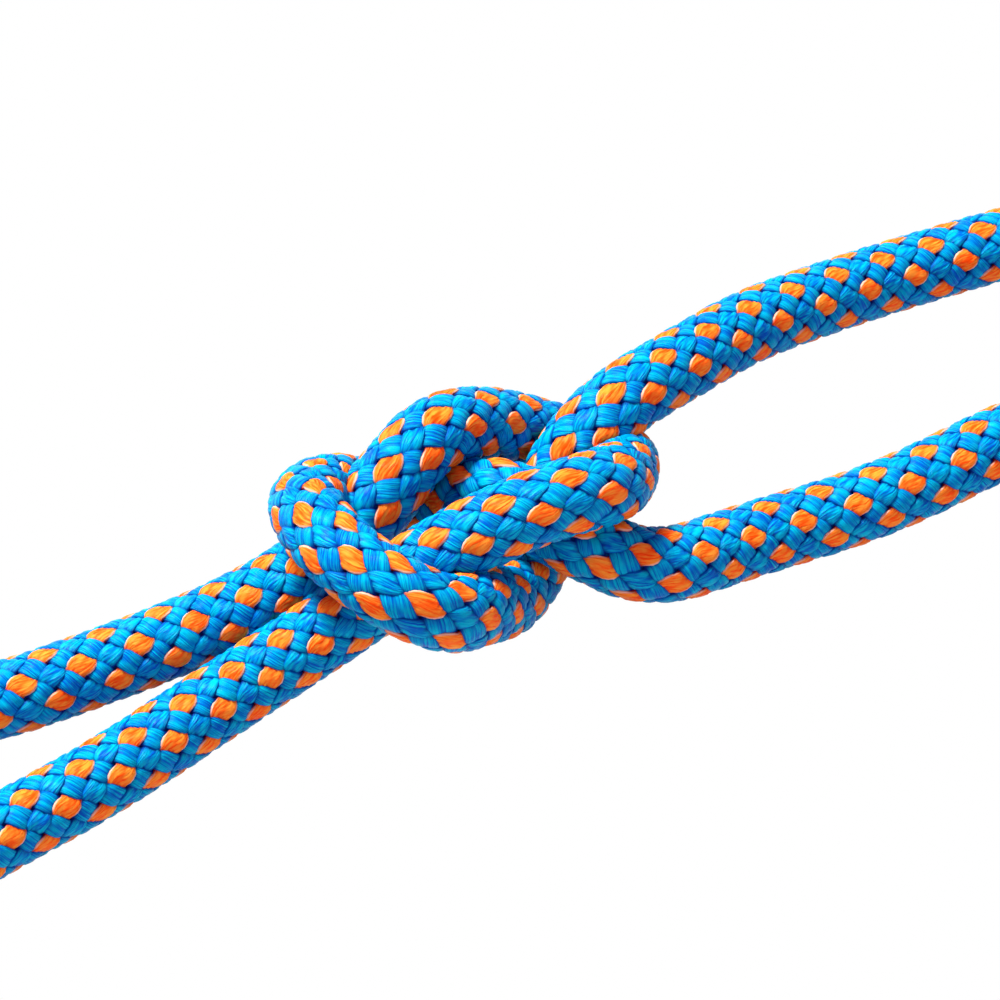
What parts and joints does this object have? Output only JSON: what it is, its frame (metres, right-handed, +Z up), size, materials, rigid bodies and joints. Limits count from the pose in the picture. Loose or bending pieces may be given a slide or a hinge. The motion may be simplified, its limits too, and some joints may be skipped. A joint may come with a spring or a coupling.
{
  "type": "dynamic climbing rope",
  "caption": "Braided kernmantle climbing rope with its ends joined in a sheet bend in front, and the rest laid behind as a round coil held by straps.",
  "frame": {"origin": "middle of the rope's outline, on the surface that it lies on", "axes": "+Z up, +Y from the knot in front to the coil behind, +X to the right seen from the knot's side"},
  "size_m": [0.3132, 0.5164, 0.0655],
  "materials": {
    "sheath": "braided nylon, blue with orange flecks",
    "core": "twisted undyed nylon",
    "seal": "melted nylon",
    "sleeve": "shrunk polyolefin",
    "strap": "woven tape with hook and loop"
  },
  "bodies": {
    "root": {"rope_coil": "sheath", "rope_bight": "sheath", "rope_hitch": "sheath", "sheath_end_bight": "sheath", "sheath_end_hitch": "sheath", "core_strand_bight_1": "core", "core_strand_bight_2": "core", "core_strand_bight_3": "core", "core_strand_bight_4": "core", "core_strand_bight_5": "core", "core_strand_bight_6": "core", "core_strand_bight_7": "core", "core_strand_hitch_1": "core", "core_strand_hitch_2": "core", "core_strand_hitch_3": "core", "core_strand_hitch_4": "core", "core_strand_hitch_5": "core", "core_strand_hitch_6": "core", "core_strand_hitch_7": "core", "end_seal_bight": "seal", "end_seal_hitch": "seal", "end_sleeve_bight": "sleeve", "end_sleeve_hitch": "sleeve", "coil_strap_1": "strap", "coil_strap_2": "strap", "coil_strap_3": "strap"}
  },
  "joints": []
}
